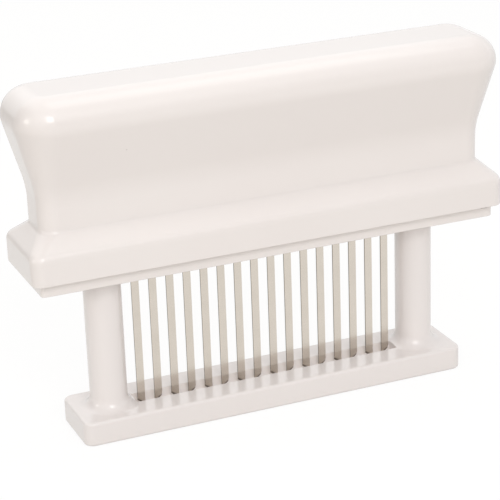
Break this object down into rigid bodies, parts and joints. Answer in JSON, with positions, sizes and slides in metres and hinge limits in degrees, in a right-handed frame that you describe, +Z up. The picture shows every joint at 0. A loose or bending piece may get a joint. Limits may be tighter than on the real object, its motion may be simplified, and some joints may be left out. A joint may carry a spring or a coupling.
{
  "type": "blade meat tenderizer",
  "caption": "Hand-held blade meat tenderizer: a row of fixed flat knives under a moulded grip, with a sprung presser foot on two posts that rises over them.",
  "frame": {"origin": "middle of the presser foot's underside, on the surface that the tool stands on", "axes": "+X along the row of knives, towards the right-hand post; +Y from front to back; +Z up, from the foot towards the handle"},
  "size_m": [0.1464, 0.0298, 0.1038],
  "materials": {
    "handle_plastic": "polished moulded plastic, warm white",
    "foot_plastic": "polished moulded plastic, warm white",
    "retainer_plastic": "satin moulded plastic, warm white",
    "keeper_plastic": "plain moulded plastic",
    "blade_steel": "rolled stainless strip, ground at the tip",
    "screw_steel": "plain stainless",
    "spring_steel": "drawn spring wire"
  },
  "bodies": {
    "handle_unit": {"handle_shell": "handle_plastic", "retainer": "retainer_plastic", "retainer_screws": "screw_steel", "knife_keeper": "keeper_plastic", "keeper_screws": "screw_steel", "spring_left": "spring_steel", "spring_right": "spring_steel", "blade_01": "blade_steel", "blade_02": "blade_steel", "blade_03": "blade_steel", "blade_04": "blade_steel", "blade_05": "blade_steel", "blade_06": "blade_steel", "blade_07": "blade_steel", "blade_08": "blade_steel", "blade_09": "blade_steel", "blade_10": "blade_steel", "blade_11": "blade_steel", "blade_12": "blade_steel", "blade_13": "blade_steel", "blade_14": "blade_steel", "blade_15": "blade_steel", "blade_16": "blade_steel"},
    "foot_unit": {"presser_foot": "foot_plastic", "stop_washers": "screw_steel", "post_screws": "screw_steel"}
  },
  "joints": [
    {"name": "foot_travel", "type": "slide", "parent": "handle_unit", "child": "foot_unit", "axis": [0, 0, 1], "range_m": [0, 0.032], "stiffness_N_per_m": 1360, "springref_m": -0.007, "deforming": ["spring_left", "spring_right"]}
  ]
}
